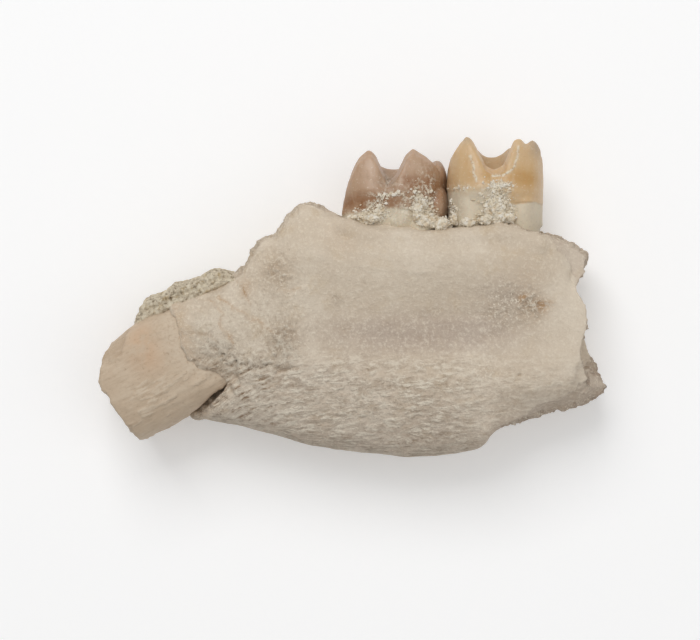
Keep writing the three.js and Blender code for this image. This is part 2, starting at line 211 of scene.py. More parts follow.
# The rim of bone that holds the roots, as a row of lumps, one more row under the incisor,
# and the vessel's pit filled to a shallow one
TOOTH_RIM = [
    (-0.9, 3.45),
    (-0.3, 3.4),
    (0.3, 3.17),
    (1.1, 2.97),
    (2.1, 3.0),
    (3.0, 2.85),
    (4.0, 2.92),
    (5.2, 3.04),
    (6.2, 3.17),
    (7.0, 3.0),
    (7.6, 2.75),
    (8.1, 2.6),
]
RIM_STEP = 0.35
RIM_WALL = (0.5, 0.62, 2.0)  # half sizes of the lumps
RIM_LIP = (0.5, 0.55, 0.62)
UNDER_LUMP = (0.4, 0.3, 1.5)
VESSEL_FILL = ((-2.45, 0.05, 4.6), (0.5, 0.42, 0.42))
RIM_START = -1.0  # the smoothed part of the rim: its front end, its depth and its lowest place
RIM_DEPTH = 1.5
RIM_FLOOR = 3.4
RIM_SMOOTHING = 30
SHEATH_EDGE = [(-8.1, 0.7), (-7.6, -0.7), (-7.3, -1.9), (-6.9, -2.75), (-5.7, -3.4), (-5.25, -3.83)]
INCISOR_UNDERSIDE = [(-7.4, -5.7), (-6.26, -4.8), (-5.25, -3.83)]
bone = copy_of("jaw_bone", "bone")
rim = [VESSEL_FILL]
for x in np.arange(-6.7, -5.1, RIM_STEP):
    rim.append(((x, height_on(INCISOR_UNDERSIDE, x) + 0.1, 2.0), UNDER_LUMP))
for x in np.arange(-0.5, 8.0, RIM_STEP):
    edge = height_on(TOOTH_RIM, x)
    rim.append(((x, edge - 0.75, 2.75), RIM_WALL))
    rim.append(((x, edge - 0.55, 4.35), RIM_LIP))
add_lumps(bone, rim, 16)
mesh_evenly(bone, BONE_VOXEL, BONE_SMOOTHING)
places, normals = points_of(bone)
x, y, z = places.T
at_rim = bone.vertex_groups.new(name="rim")
near_rim = (y > height_on(TOOTH_RIM, x) - RIM_DEPTH) & (x > RIM_START) & (z > RIM_FLOOR)
at_rim.add(np.flatnonzero(near_rim).tolist(), 1.0, "REPLACE")
work(bone, "SMOOTH", factor=0.5, iterations=RIM_SMOOTHING, vertex_group="rim")
places, normals = points_of(bone)
x, y, z = places.T
tongue = ramp(0.1, 0.5, normals[:, 2])
cheek = ramp(0.1, 0.5, -normals[:, 2])
wall = 1 - tongue - cheek
broken = wall * np.maximum(ramp(5.6, 6.8, x), ramp(-0.6, -1.6, x) * ramp(-0.6, 0.4, y))
ragged_x = x + 0.14 * noise(places * 1.9, 1) + 0.06 * noise(places * 6, 2)
ragged_y = y + 0.14 * noise(places * 1.9, 3) + 0.06 * noise(places * 6, 4)

# The sheath over the incisor ends at a ragged edge, and painted shade darkens the groove along the tooth's
# underside
sheath = beside(x, y, SHEATH_EDGE)
under = beside(x, y, INCISOR_UNDERSIDE)
sheath_edge = np.exp(-((sheath / 0.6) ** 2)) * (under > 0)
front_wall = wall * ramp(-4.6, -5.2, x) * ramp(0.3, 0.1, np.abs(sheath))
groove = np.exp(-((under / 0.25) ** 2)) * ramp(-4.4, -5.6, x) * ramp(MID_HEIGHT, MID_HEIGHT + 0.4, z)

# Layers broken off the upper rear corner, the lower rear edge and the front of the peak
UPPER_STEP = [(7.9, 3.1), (8.36, 2.43), (8.87, 1.67), (9.23, 1.2), (9.34, 0.74), (9.29, 0.31)]
LOWER_STEP = [(6.2, -5.6), (7.3, -5.03), (8.5, -4.44), (9.37, -4.01), (10.2, -3.1)]
PEAK_STEP = [(-4.8, 0.6), (-4.05, 1.85), (-3.2, 2.3), (-2.5, 3.1)]
UPPER_DEPTH = 0.06
LOWER_DEPTH = 0.12
PEAK_DEPTH = 0.06
STEP_EDGE = 0.12  # width of a step's slope
upper_step = ramp(0, STEP_EDGE, beside(ragged_x, ragged_y, UPPER_STEP)) * ramp(0.2, 0.7, y)
lower_step = ramp(0, STEP_EDGE, -beside(ragged_x, ragged_y, LOWER_STEP)) * ramp(5.9, 6.5, x)
peak_step = ramp(0, STEP_EDGE, beside(ragged_x, ragged_y, PEAK_STEP)) * ramp(0.5, 1.0, y) * (x < -2.3)
steps = UPPER_DEPTH * upper_step + LOWER_DEPTH * lower_step + PEAK_DEPTH * peak_step

# Thin layers that end at a brown edge, higher on the left of the line: the line and the height of its step
LAYERS = [
    ([(-4.95, 0.65), (-4.41, -0.03), (-4.3, -0.4)], 0.04),
    ([(-3.1, -1.65), (-4.0, -1.04), (-4.64, -0.7), (-5.79, 0.02)], 0.06),
    ([(-5.1, -1.9), (-5.53, -1.21), (-5.45, -0.75), (-5.9, -0.28), (-6.6, -0.1)], 0.06),
    ([(-2.2, 0.3), (-2.45, 0.14), (-2.8, 0.2)], 0.08),
    ([(-6.9, -1.5), (-6.2, -1.6), (-5.8, -1.9)], 0.04),
]
LAYER_EDGE = 0.07  # half width of a layer's slope
LAYER_FADE = 0.7  # how far from its edge a layer runs out
LAYER_LINE = 0.06  # half width of the brown line
layers = np.zeros(len(x))
layer_edges = np.zeros(len(x))
for line, step in LAYERS:
    away = beside(ragged_x, ragged_y, line)
    layers += step * (ramp(-LAYER_EDGE, LAYER_EDGE, away) - 0.5) * np.exp(-((away / LAYER_FADE) ** 2))
    layer_edges += np.exp(-((away / LAYER_LINE) ** 2))

# Cracks: the line of each, its half width and its depth
CRACKS = [
    ([(-4.77, -3.2), (-4.14, -3.07), (-3.59, -2.91), (-3.16, -3.2), (-2.27, -2.99)], 0.05, 0.13),
    ([(-4.12, -3.41), (-3.63, -3.58)], 0.05, 0.09),
    ([(-1.4, -3.1), (-0.9, -3.2), (-0.4, -3.5)], 0.045, 0.05),
    ([(1.4, -2.1), (2.6, -2.5), (3.8, -3.2)], 0.045, 0.025),
    ([(-5.64, -2.5), (-5.6, -2.46)], 0.06, 0.2),
    ([(-6.74, -2.8), (-6.7, -2.76)], 0.06, 0.2),
    ([(-4.96, -2.82), (-4.9, -2.78)], 0.05, 0.15),
    ([(7.02, -3.34), (7.06, -3.32)], 0.05, 0.12),
]
cracks = np.zeros(len(x))
for line, width, depth in CRACKS:
    away = beside(ragged_x, ragged_y, line)
    cracks += depth * np.exp(-((away / width) ** 2))

# Patches without the bone's smooth skin: middle, half widths and roughness
ROUGH = [
    ((-2.91, -1.93), (0.65, 0.95), 0.12),
    ((-5.66, -2.31), (0.95, 0.6), 0.09),
    ((-4.3, -2.85), (0.9, 0.35), 0.1),
    ((-3.16, 0.95), (0.7, 0.95), 0.07),
    ((-6.4, -1.4), (0.5, 0.7), 0.03),
    ((7.55, -0.4), (0.55, 0.5), 0.12),
    ((6.2, -0.75), (0.7, 0.5), 0.05),
    ((6.6, 0.25), (0.4, 0.4), 0.04),
    ((5.6, -3.16), (0.4, 0.35), 0.06),
    ((-0.65, -0.15), (0.3, 0.28), 0.05),
]
rough = spots_at(ragged_x, ragged_y, ROUGH) * tongue + 0.1 * broken + 0.02 * cheek
unevenness = 0.7 * web(places * 3.6, 11) + 0.6 * fractal(places * 4.5, 13)
pits = rough * np.maximum(-unevenness, 0)

# Strands of bone fan out behind the incisor and level out along the lower edge
FAN_RISE = 1.1
FAN_LENGTH = 2.2
FAN_START = -5.0
LEVELS = (-20.0, 8.0)
WRAP_HEIGHT = 4.0  # below this height the strands are counted down the wall
WRAP_RATE = 2.5
STRAND_HEIGHT = 0.016
level = y + FAN_RISE * np.exp(np.minimum((FAN_START - x) / FAN_LENGTH, 1.0))
level -= WRAP_RATE * np.maximum(WRAP_HEIGHT - z, 0)
fibrous = ramp(-1.8, -3.6, y) * (1 - 0.6 * ramp(3, 8, x))
strands = noise(np.stack([1.6 * x, 6.5 * level, 0.5 * z], axis=1), 21)
strands += 0.7 * noise(np.stack([2.6 * x, 12 * level, 0.5 * z], axis=1), 22)

# All the carving together, with the grain of the breaks and a notch in the rear edge
BREAK_HEIGHT = 0.16
FRONT_HEIGHT = 0.25
REAR_NOTCH = 0.28
NOTCH_WIDTH = 0.35
NOTCH_DEPTH = 0.2
swell = 0.035 * fractal(places * 0.9, 31) + 0.012 * fractal(places * 3.5, 32)
height = swell + layers * tongue + rough * unevenness - cracks * tongue - steps * tongue
height += BREAK_HEIGHT * broken * fractal(places * 1.6, 33)
height += FRONT_HEIGHT * front_wall * fractal(places * 1.8, 34)
height -= BREAK_HEIGHT * broken * ramp(0.35, 0.1, cells(places * 1.9, 37))
height += STRAND_HEIGHT * fibrous * (1 - broken) * strands
height -= sheath_edge * tongue * (0.055 + 0.06 * fractal(places * 2.4, 36))
height -= NOTCH_DEPTH * wall * np.exp(-(((y - REAR_NOTCH) / NOTCH_WIDTH) ** 2)) * ramp(8.5, 9.0, x)
carved = places + normals * height[:, None]
carved[:, 2] = np.maximum(carved[:, 2], 0)
put_points(bone, carved)

# Stains: brown where iron soaked in; painted shade, lilac grey, in the long hollow under the teeth; paler
# patches
STAINS = [
    ((8.05, -0.36), (0.3, 0.28), 1.0),
    ((7.15, -0.05), (0.2, 0.24), 1.2),
    ((7.6, -0.6), (0.6, 0.45), 0.4),
    ((7.4, 0.9), (0.9, 0.9), 0.2),
    ((-3.2, 1.0), (0.75, 0.9), 0.3),
    ((-4.5, 0.3), (0.35, 0.35), 0.5),
    ((-0.6, 2.4), (1.2, 0.8), 0.2),
    ((-2.7, -1.7), (0.6, 0.8), 0.25),
    ((5.6, -3.16), (0.4, 0.3), 0.3),
]
# Painted shade: the bone is greyed under these spots, over the long hollow under the teeth
SHADES = [
    ((1.6, -1.6), (3.4, 0.9), 1.0),
    ((5.0, -1.5), (2.6, 0.8), 0.8),
    ((6.6, 0.1), (1.3, 0.7), 0.6),
    ((-1.5, -3.4), (3.0, 0.7), 0.4),
]
BLEACHED = [
    ((-3.7, -0.4), (0.8, 0.75), 0.9),
    ((-4.2, -2.1), (0.5, 0.3), 0.8),
    ((-5.7, -2.2), (0.9, 0.7), 0.9),
    ((2.2, 1.2), (3.4, 1.1), 0.6),
    ((8.8, -1.5), (1.2, 2.0), 0.6),
]
FLECKED = [((6.4, -0.3), (0.9, 0.8), 1.0), ((7.6, -0.4), (0.5, 0.5), 1.0), ((5.6, -3.16), (0.6, 0.4), 0.6)]
stain = spots_at(ragged_x, ragged_y, STAINS) + 0.8 * layer_edges * (0.6 + 0.4 * noise(places * 2.5, 35))
shade = spots_at(ragged_x, ragged_y, SHADES)
paint(
    bone,
    stain=(stain + 0.35 * sheath_edge) * tongue + 0.2 * broken,
    # painted shade: grey in the hollow and on the lower layers where the steps broke off
    shade=shade + 0.5 * upper_step + 0.6 * lower_step,
    bleach=spots_at(ragged_x, ragged_y, BLEACHED) * tongue,
    # darker in the pits and cracks, and painted shade in the groove under the incisor
    pit=7 * pits + 6 * cracks * tongue + 0.5 * groove,
    crumb=ramp(0.02, 0.07, rough * unevenness) * tongue,
    coarse=8 * rough + 0.1 * shade + 0.3 * spots_at(x, y, [((-4.5, -0.8), (2.6, 2.2), 1.0)]),
    fleck=spots_at(x, y, FLECKED) * tongue,
    fibre=fibrous * (1 - broken),
    furrow=ramp(-2.0, -5.0, x) + ramp(-5.6, -6.6, y) * 0.7,
    level=np.interp(level, LEVELS, (0, 1)),
    # painted shade: greyer towards the lower edge, and on the lower part of the broken walls
    low=ramp(-2.0, -6.6, y) * (1 - broken) + broken * ramp(0, -2, y),
)


class Wire:
    """One socket of a material. Arithmetic on it adds Math nodes."""

    def __init__(self, tree, socket=None):
        self.tree = tree
        self.socket = socket

    def node(self, kind, settings=None, inputs=None, output=0):
        """Adds a node, sets it up, feeds its inputs and gives one of its outputs."""
        made = self.tree.nodes.new(kind)
        for name, value in (settings or {}).items():
            setattr(made, name, value)
        for name, value in (inputs or {}).items():
            if isinstance(value, Wire):
                self.tree.links.new(value.socket, made.inputs[name])
            else:
                made.inputs[name].default_value = value
        return Wire(self.tree, made.outputs[output])

    def math(self, operation, first, second):
        return self.node("ShaderNodeMath", {"operation": operation}, {0: first, 1: second})

    def __add__(self, other):
        return self.math("ADD", self, other)

    __radd__ = __add__

    def __sub__(self, other):
        return self.math("SUBTRACT", self, other)

    def __rsub__(self, other):
        return self.math("SUBTRACT", other, self)

    def __mul__(self, other):
        return self.math("MULTIPLY", self, other)

    __rmul__ = __mul__

    def over(self, low, high):
        """0 below low, 1 above high, smooth between them."""
        limits = {"Value": self, "From Min": low, "From Max": high}
        return self.node("ShaderNodeMapRange", {"interpolation_type": "SMOOTHSTEP"}, limits)

    def blend(self, first, share, second):
        """One colour with a share of another one."""
        first, second = (c if isinstance(c, Wire) else (*c, 1) for c in (first, second))
        return self.node("ShaderNodeMix", {"data_type": "RGBA"}, {0: share, 6: first, 7: second}, 2)

    def mixed(self, share, colour):
        """This colour with a share of another one."""
        return self.blend(self, share, colour)

    def stretched(self, lengths, turn=0.0):
        """These coordinates measured in a length along each axis of a frame turned about the upright."""
        inputs = {"Vector": self, "Scale": lengths, "Rotation": (0, 0, turn)}
        return self.node("ShaderNodeMapping", {"vector_type": "TEXTURE"}, inputs)

    def waves(self, scale, detail=4.0, roughness=0.55):
        """Noise on these coordinates, from 0 to 1."""
        inputs = {"Vector": self, "Scale": scale, "Detail": detail, "Roughness": roughness}
        return self.node("ShaderNodeTexNoise", {}, inputs)

    def mask(self, name):
        """A painted mask of the piece."""
        return self.node("ShaderNodeAttribute", {"attribute_name": name}, {}, "Fac")


def colour_of(red, green, blue):
    """A display colour as the light that it sends back."""
    levels = np.array([red, green, blue]) / 255
    return tuple((((levels + 0.055) / 1.055) ** 2.4).tolist())


def new_finish(name, **constants):
    """A material, its shader with some values set, and its Object coordinates in millimetres."""
    material = bpy.data.materials.new(name)
    material.use_nodes = True
    tree = material.node_tree
    shader = tree.nodes["Principled BSDF"]
    for socket, value in constants.items():
        shader.inputs[socket.replace("_", " ")].default_value = value
    start = Wire(tree)
    spots = start.node("ShaderNodeTexCoord", output="Object")
    spots = start.node("ShaderNodeVectorMath", {"operation": "SCALE"}, {0: spots, "Scale": 1 / MM})
    return material, shader, spots


def feed(shader, colour, roughness, relief, depth):
    """Links the colour, the roughness and a bump of some depth in millimetres to a shader."""
    bump = relief.node("ShaderNodeBump", {}, {"Height": relief, "Distance": depth * MM, "Strength": 1.0})
    colour.tree.links.new(colour.socket, shader.inputs["Base Color"])
    colour.tree.links.new(roughness.socket, shader.inputs["Roughness"])
    colour.tree.links.new(bump.socket, shader.inputs["Normal"])


def rest_on(piece, finish, slot, *nodes):
    """Gives a piece its material, ties it to the body and hides the solids that it stands for."""
    piece.data.materials.clear()
    piece.data.materials.append(finish)
    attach(piece, "root")
    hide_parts(*nodes)


BONE_CREAM = colour_of(211, 195, 174)
BONE_PALE = colour_of(228, 215, 196)
BONE_TAN = colour_of(202, 180, 149)
BONE_GREY = colour_of(180, 163, 149)
BONE_BROWN = colour_of(176, 134, 88)
BONE_PIT = colour_of(134, 102, 70)
BONE_FLECK = colour_of(241, 230, 211)
bone_finish, shader, spots = new_finish("fossil_bone", Specular_IOR_Level=0.25)
coarse = spots.mask("coarse")
fibre = spots.mask("fibre")
level = LEVELS[0] + spots.mask("level") * (LEVELS[1] - LEVELS[0])
along = spots.node("ShaderNodeSeparateXYZ", {}, {0: spots}, "X")
cloud = spots.waves(0.35, 3.0)
mottle = spots.waves(1.3, 6.0, 0.6)
grain = spots.waves(6.0, 6.0, 0.72)
speck = spots.waves(10.0, 3.0, 0.6)
strand_inputs = {"X": along * 2.2, "Y": level * 8.5 + mottle * 3.0, "Z": grain * 0.8}
streak = spots.node("ShaderNodeCombineXYZ", {}, strand_inputs).waves(1.0, 5.0, 0.7)
tufts = fibre * spots.waves(2.0, 4.0, 0.6).over(0.3, 0.6)
colour = spots.blend(BONE_CREAM, cloud.over(0.42, 0.62) * 0.6, BONE_PALE)
colour = colour.mixed(mottle.over(0.5, 0.72) * 0.45, BONE_TAN)
# painted shade: grey in the hollow under the teeth and on the broken steps
colour = colour.mixed(spots.mask("shade") * mottle.over(0.1, 0.5) * 0.7, BONE_GREY)
# painted shade: greyer towards the lower edge
colour = colour.mixed(spots.mask("low") * 0.4, BONE_GREY)
colour = colour.mixed(spots.mask("bleach") * mottle.over(0.2, 0.6) * 0.8, BONE_PALE)
colour = colour.mixed(spots.mask("stain") * grain.over(0.38, 0.52) * 0.85, BONE_BROWN)
# darker in the pits and cracks, with painted shade in the groove under the incisor
colour = colour.mixed(spots.mask("pit") * 0.42, BONE_PIT)
colour = colour.mixed(spots.mask("crumb") * 0.6, BONE_FLECK)
colour = colour.mixed(tufts * streak.over(0.5, 0.58) * 0.95, BONE_FLECK)
colour = colour.mixed(tufts * streak.over(0.47, 0.38) * (0.35 + 0.6 * spots.mask("furrow")), BONE_PIT)
colour = colour.mixed(grain.over(0.52, 0.62) * (0.3 + 0.6 * coarse), BONE_FLECK)
colour = colour.mixed(grain.over(0.46, 0.36) * (0.08 + 0.5 * coarse), BONE_PIT)
flecks = 0.25 + 0.5 * coarse + 0.6 * spots.mask("fleck")
colour = colour.mixed(speck.over(0.56, 0.64) * flecks, BONE_FLECK)
roughness = 0.7 + 0.2 * mottle
relief = grain * (0.5 + 1.3 * coarse) + streak * tufts * 1.4 + speck * (0.3 + 0.4 * coarse)
feed(shader, colour, roughness, relief, BONE_BUMP)
rest_on(bone, bone_finish, "bone", "jaw_bone")


# The incisor stub
# The broken front tooth, smooth tan dentine with a silky skin, striped along its length.
# A copy of its solid runs on into the bone, so that the broken sheath closes over its root.
INCISOR_VOXEL = 0.055
INCISOR_SMOOTHING = 14
INCISOR_BUMP = 0.04
STRIPE_HEIGHT = 0.006
FLAKE_HEIGHT = 0.03
FACET_DEPTH = 0.1
ROOT_REACH = 1.2
ROOT_SEAM = 0.4
ROOT_TAPER = 0.88
INCISOR_LEVEL = 2.7
INCISOR_RUN = np.array([0.885, 0.466, 0.0])
INCISOR_TURN = np.arctan2(INCISOR_RUN[1], INCISOR_RUN[0])
OPENING_EDGE = SHEATH_EDGE + INCISOR_UNDERSIDE[::-1]
incisor = copy_of("incisor", "incisor_stub")
places, _ = points_of(incisor)
at_root = np.abs(beside(places[:, 0], places[:, 1], OPENING_EDGE)) < ROOT_SEAM
places[at_root, 2] = INCISOR_LEVEL + ROOT_TAPER * (places[at_root, 2] - INCISOR_LEVEL)
put_points(incisor, places + ROOT_REACH * INCISOR_RUN * at_root[:, None])
mesh_evenly(incisor, INCISOR_VOXEL, INCISOR_SMOOTHING)
places, normals = points_of(incisor)
x, y, z = places.T
along = places @ INCISOR_RUN
across = y * INCISOR_RUN[0] - x * INCISOR_RUN[1]
ends = ramp(0.3, 0.75, -(normals @ INCISOR_RUN))
lengthwise = np.stack([along, across, z], axis=1)
stripes = noise(lengthwise * (0.6, 5, 5), 41) + 0.6 * noise(lengthwise * (1.1, 12, 12), 42)
FLAKED = [((-8.5, -4.0), (1.0, 0.5), 1.0), ((-8.9, -5.0), (0.9, 0.8), 0.9), ((-7.3, -3.6), (0.9, 0.5), 0.7)]
flaked = spots_at(x, y, FLAKED) * (1 - ends)
scales = fractal(lengthwise * (1.6, 5.5, 4), 43) + 0.25 * fractal(places * 6, 47)
flakes = ramp(0.0, 0.12, scales - 0.5 + 0.6 * flaked)
FACET = [(-9.3, -0.9), (-9.68, -1.9), (-9.75, -2.5), (-10.4, -2.75)]
facet_x = x + 0.12 * fractal(places * 2.5, 48)
facet = ramp(0, 0.15, -beside(facet_x, y, FACET)) * ramp(-3.2, -2.4, y) * ramp(3.0, 3.5, z)
height = STRIPE_HEIGHT * stripes * (1 - ends) + FLAKE_HEIGHT * flakes + 0.06 * fractal(places * 1.1, 44)
height += ends * (0.1 * fractal(places * 2.2, 45) - 0.05 * ramp(0.5, 0.1, cells(places * 3, 46)))
height -= FACET_DEPTH * facet
moved = places + normals * height[:, None]
front = ramp(-9.2, -10.3, x)
moved[:, 0] += front * (0.22 * np.exp(-(((y + 3.0) / 0.4) ** 2)) - 0.1 * np.exp(-(((y + 3.8) / 0.4) ** 2)))
put_points(incisor, moved)
BLUSHES = [((-9.0, -1.9), (0.6, 0.8), 1.0), ((-8.6, -2.7), (0.8, 0.7), 0.6)]
chalk = ramp(1.3, 0.1, -beside(x, y, SHEATH_EDGE)) * ramp(-4.2, -3.2, y)
paint(incisor, flake=flakes * flaked, blush=spots_at(x, y, BLUSHES), end=ends, facet=facet, chalk=chalk)

INCISOR_TAN = colour_of(198, 177, 152)
INCISOR_PALE = colour_of(214, 198, 176)
INCISOR_BLUSH = colour_of(204, 169, 136)
INCISOR_BROWN = colour_of(140, 112, 84)
incisor_finish, shader, spots = new_finish(
    "incisor_dentine", Specular_IOR_Level=0.35, Coat_Roughness=0.4, Coat_Weight=0.06
)
streak = spots.stretched((0.6, 0.1, 0.1), INCISOR_TURN).waves(1.0, 5.0, 0.65)
mottle = spots.waves(1.1, 5.0)
grain = spots.waves(6.5, 5.0, 0.7)
colour = spots.blend(INCISOR_TAN, mottle.over(0.45, 0.7) * 0.4, INCISOR_PALE)
colour = colour.mixed(streak.over(0.52, 0.68) * 0.3, INCISOR_PALE)
colour = colour.mixed(streak.over(0.46, 0.3) * 0.2, INCISOR_BROWN)
colour = colour.mixed(spots.mask("blush") * mottle.over(0.3, 0.6) * 0.7, INCISOR_BLUSH)
colour = colour.mixed(spots.mask("chalk") * grain.over(0.35, 0.55) * 0.55, INCISOR_PALE)
colour = colour.mixed(spots.mask("flake") * streak.over(0.4, 0.56) * 0.75, INCISOR_PALE)
colour = colour.mixed(spots.mask("facet") * grain.over(0.3, 0.6) * 0.3, INCISOR_BROWN)
colour = colour.mixed(spots.mask("end") * grain.over(0.35, 0.7) * 0.45, INCISOR_PALE)
colour = colour.mixed(grain.over(0.44, 0.3) * 0.3, INCISOR_BROWN)
colour = colour.mixed(grain.over(0.56, 0.7) * 0.3, INCISOR_PALE)
roughness = 0.48 + 0.2 * mottle + 0.15 * spots.mask("flake")
feed(shader, colour, roughness, streak * 0.8 + grain * 0.5, INCISOR_BUMP)
rest_on(incisor, incisor_finish, "incisor_dentine", "incisor")


# The crust of sediment
# Hard gritty sediment along the upper front edge, grey and ochre with small holes.
# A row of lumps follows its upper and lower edge, is meshed as one and roughened into grit.
CRUST_VOXEL = 0.045
CRUST_SMOOTHING = 6
CRUST_STEP = 0.17
CRUST_BUMP = 0.07
GRIT_HEIGHT = 0.07
HOLE_DEPTH = 0.09
CRUST_TOP = [
    (-9.3, -0.95),
    (-9.15, -0.6),
    (-8.9, -0.05),
    (-8.6, 0.2),
    (-8.2, 0.28),
    (-7.86, 0.45),
    (-7.6, 0.75),
    (-7.0, 0.8),
    (-6.36, 0.97),
    (-6.05, 1.26),
    (-5.6, 1.22),
    (-4.85, 1.0),
]
CRUST_FOOT = [(-9.3, -1.15), (-9.1, -1.05), (-8.3, -0.72), (-7.4, -0.4), (-5.7, 0.5), (-4.85, 0.95)]
CRUST_LEVEL = [(-9.2, 3.7), (-7.6, 4.05), (-6.8, 4.3)]
CRUST_HALF_THICKNESS = 1.6
lumps = []
for x in np.arange(-9.15, -4.95, CRUST_STEP):
    top = height_on(CRUST_TOP, x) - 0.05
    foot = height_on(CRUST_FOOT, x) - 0.3
    half = np.array([0.24, (top - foot) / 3, CRUST_HALF_THICKNESS])
    level = height_on(CRUST_LEVEL, x) - CRUST_HALF_THICKNESS
    lumps.append(((x, foot + half[1], level), half))
    lumps.append(((x, top - half[1], level - 0.15), half))
crust = new_piece("sediment_crust")
add_lumps(crust, lumps, 16)
mesh_evenly(crust, CRUST_VOXEL, CRUST_SMOOTHING)
places, normals = points_of(crust)
grit = 0.6 * web(places * 2.8, 51) + 0.7 * fractal(places * 3.6, 54)
holes = ramp(0.3, 0.1, cells(places * 3.6, 57))
height = GRIT_HEIGHT * grit + 0.09 * fractal(places * 1.5, 60) - HOLE_DEPTH * holes
put_points(crust, places + normals * height[:, None])
# painted shade in the hollows of the grit and in the holes
paint(crust, gap=ramp(0, -0.8, grit) * 0.6 + 0.8 * holes)

CRUST_GREY = colour_of(214, 200, 176)
CRUST_PALE = colour_of(240, 229, 206)
CRUST_OCHRE = colour_of(200, 174, 128)
CRUST_DARK = colour_of(126, 104, 78)
crust_finish, shader, spots = new_finish("crust_sediment", Specular_IOR_Level=0.2)
mottle = spots.waves(1.8, 5.0)
grain = spots.waves(6.5, 6.0, 0.72)
colour = spots.blend(CRUST_GREY, mottle.over(0.48, 0.65) * 0.6, CRUST_PALE)
colour = colour.mixed(spots.waves(3.1, 3.0).over(0.52, 0.68) * 0.6, CRUST_OCHRE)
# painted shade in the hollows of the grit and in the holes
colour = colour.mixed(spots.mask("gap") * 0.6, CRUST_DARK)
colour = colour.mixed(grain.over(0.46, 0.36) * 0.7, CRUST_DARK)
colour = colour.mixed(grain.over(0.51, 0.6) * 0.85, CRUST_PALE)
feed(shader, colour, 0.8 + 0.15 * grain, grain * 1.6 + spots.waves(14.0, 3.0) * 0.5, CRUST_BUMP)
rest_on(crust, crust_finish, "sediment", "matrix_crust")


# The cheek teeth
# Two crowns of enamel with a soft gloss, the front one brown and the rear one honey, on pale roots.
# Each crown is a block drawn up to the rims of its cusps, fused with lumps for its roots and carved.
TOOTH_VOXEL = 0.048
TOOTH_SMOOTHING = 16
ENAMEL_BUMP = 0.03
FOLD_WIDTH = 0.38  # the fold that runs down from the valley between the cusps
FOLD_DEPTH = 0.32
CROWN_MIDDLE = 2.95
CROWN_BASE = 3.0
CROWN_CUTS = 44
CROWN_ROUNDNESS = 0.85
CROWN_FLANK = [(3.0, 1.4), (3.8, 1.62), (4.5, 1.85), (5.4, 1.72), (6.6, 1.35)]
BASIN_DEPTH = 0.35
RIM_ROUNDING = 0.3
ENAMEL_STEP = 0.02


def tooth_of(name, ends, rims, valley, roots, neck):
    """A cheek tooth, and how high each of its points lies above the edge of its enamel."""
    tongue_rim, cheek_rim = rims
    bpy.ops.object.select_all(action="DESELECT")
    bpy.ops.mesh.primitive_cube_add(size=2 * MM)
    tooth = bpy.context.active_object
    tooth.name = name
    bpy.ops.object.mode_set(mode="EDIT")
    bpy.ops.mesh.subdivide(number_cuts=CROWN_CUTS)
    bpy.ops.object.mode_set(mode="OBJECT")
    block, _ = points_of(tooth)
    along = block[:, 0] * np.sqrt(1 - CROWN_ROUNDNESS * block[:, 2] ** 2 / 2)
    across = block[:, 2] * np.sqrt(1 - CROWN_ROUNDNESS * block[:, 0] ** 2 / 2)
    x = np.interp(along, (-1, 1), ends)
    tongue_top = height_on(tongue_rim, x)
    cheek_top = height_on(cheek_rim, x)
    basin = np.minimum(tongue_top, cheek_top) - BASIN_DEPTH
    top = basin + (tongue_top - basin) * ramp(0.05, 0.75, across)
    top += (cheek_top - basin) * ramp(-0.05, -0.75, across)
    top -= RIM_ROUNDING * ramp(0.7, 1.0, np.abs(block[:, 2]))
    y = CROWN_BASE + (np.maximum(top, CROWN_BASE + 0.1) - CROWN_BASE) * (block[:, 1] + 1) / 2
    z = CROWN_MIDDLE + across * height_on(CROWN_FLANK, y)
    fold = np.exp(-(((x - valley[0]) / FOLD_WIDTH) ** 2)) * ramp(valley[1] - 0.9, valley[1] + 0.2, y)
    z -= FOLD_DEPTH * fold * ramp(0.3, 0.9, across)
    put_points(tooth, np.stack([x, y, z], axis=1))
    add_lumps(tooth, roots, 32)
    mesh_evenly(tooth, TOOTH_VOXEL, TOOTH_SMOOTHING)
    places, normals = points_of(tooth)
    above = places[:, 1] - height_on(neck, places[:, 0]) - 0.05 * noise(places * 2.0, 61)
    height = ENAMEL_STEP * ramp(-0.03, 0.04, above) + 0.03 * fractal(places * 1.3, 62)
    height += 0.006 * noise(places * (1.5, 9, 1.5), 65) * ramp(0, 0.3, above)
    put_points(tooth, places + normals * height[:, None])
    return tooth, places, above


FRONT_TONGUE_RIM = [
    (-0.5, 3.5),
    (-0.33, 4.44),
    (-0.03, 5.4),
    (0.27, 6.0),
    (0.7, 6.28),
    (1.0, 6.0),
    (1.5, 4.85),
    (1.85, 5.2),
    (2.3, 6.1),
    (2.57, 6.38),
    (3.17, 6.0),
    (3.7, 5.55),
    (3.82, 5.0),
]
FRONT_CHEEK_RIM = [(-0.5, 4.0), (0.0, 5.3), (0.75, 5.9), (1.45, 5.6), (2.0, 5.55), (2.5, 5.95), (3.8, 5.6)]
FRONT_ROOTS = [
    ((3.65, 4.75, 2.3), (0.45, 1.15, 0.95)),  # heel behind the rear cusps
    ((3.6, 3.9, 2.9), (0.52, 0.95, 1.3)),  # rear wall of the crown
    ((2.0, 3.3, 3.6), (0.75, 0.75, 1.0)),  # root that shows between the crumbs
    ((0.35, 3.0, 2.95), (0.85, 1.2, 1.55)),
    ((2.95, 3.0, 2.95), (0.9, 1.1, 1.55)),
]
FRONT_NECK = [(-0.6, 3.5), (0.9, 3.6), (1.5, 3.75), (2.2, 3.75), (2.8, 3.6), (3.9, 3.4)]
FRONT_RIMS = (FRONT_TONGUE_RIM, FRONT_CHEEK_RIM)
FRONT_VALLEY = (1.5, 4.85)
molar_front, places, above = tooth_of(
    "cheek_tooth_front", (-0.52, 3.84), FRONT_RIMS, FRONT_VALLEY, FRONT_ROOTS, FRONT_NECK
)
x, y, z = places.T
ragged_x = x + 0.12 * noise(places * 3, 71)
